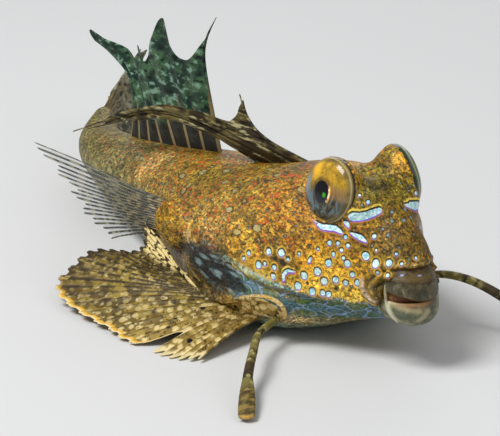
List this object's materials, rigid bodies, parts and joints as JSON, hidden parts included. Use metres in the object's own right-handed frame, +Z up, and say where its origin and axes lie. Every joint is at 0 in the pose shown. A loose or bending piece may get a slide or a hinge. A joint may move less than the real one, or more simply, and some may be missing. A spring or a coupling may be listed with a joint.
{
  "type": "fingered dragonet",
  "caption": "Life-size still model of a fingered dragonet resting on its belly, fins spread and the free pelvic fingers set forward on the floor.",
  "frame": {"origin": "on the floor under the middle of the model's box", "axes": "+X from tail to head along the trunk, +Y to the fish's left, +Z up"},
  "size_m": [0.1616, 0.0736, 0.046],
  "materials": {
    "skin": "satin, mottled",
    "eye": "wet gloss",
    "lip": "satin, translucent",
    "dorsal_fin": "satin",
    "caudal_fin": "satin",
    "anal_fin": "satin",
    "pectoral_fin": "satin, clear between the rays",
    "pelvic_fin": "satin",
    "finger": "satin, banded"
  },
  "bodies": {
    "root": {"head": "skin", "torso": "skin", "tail": "skin", "eye_right": "eye", "eye_left": "eye", "upper_jaw": "lip", "lower_jaw": "lip", "dorsal_fin_first": "dorsal_fin", "dorsal_fin_second": "dorsal_fin", "caudal_fin": "caudal_fin", "anal_fin": "anal_fin", "pectoral_fin_right": "pectoral_fin", "pectoral_fin_left": "pectoral_fin", "pelvic_fin_right": "pelvic_fin", "pelvic_fin_left": "pelvic_fin", "pelvic_finger_right": "finger", "pelvic_finger_left": "finger"}
  },
  "joints": []
}
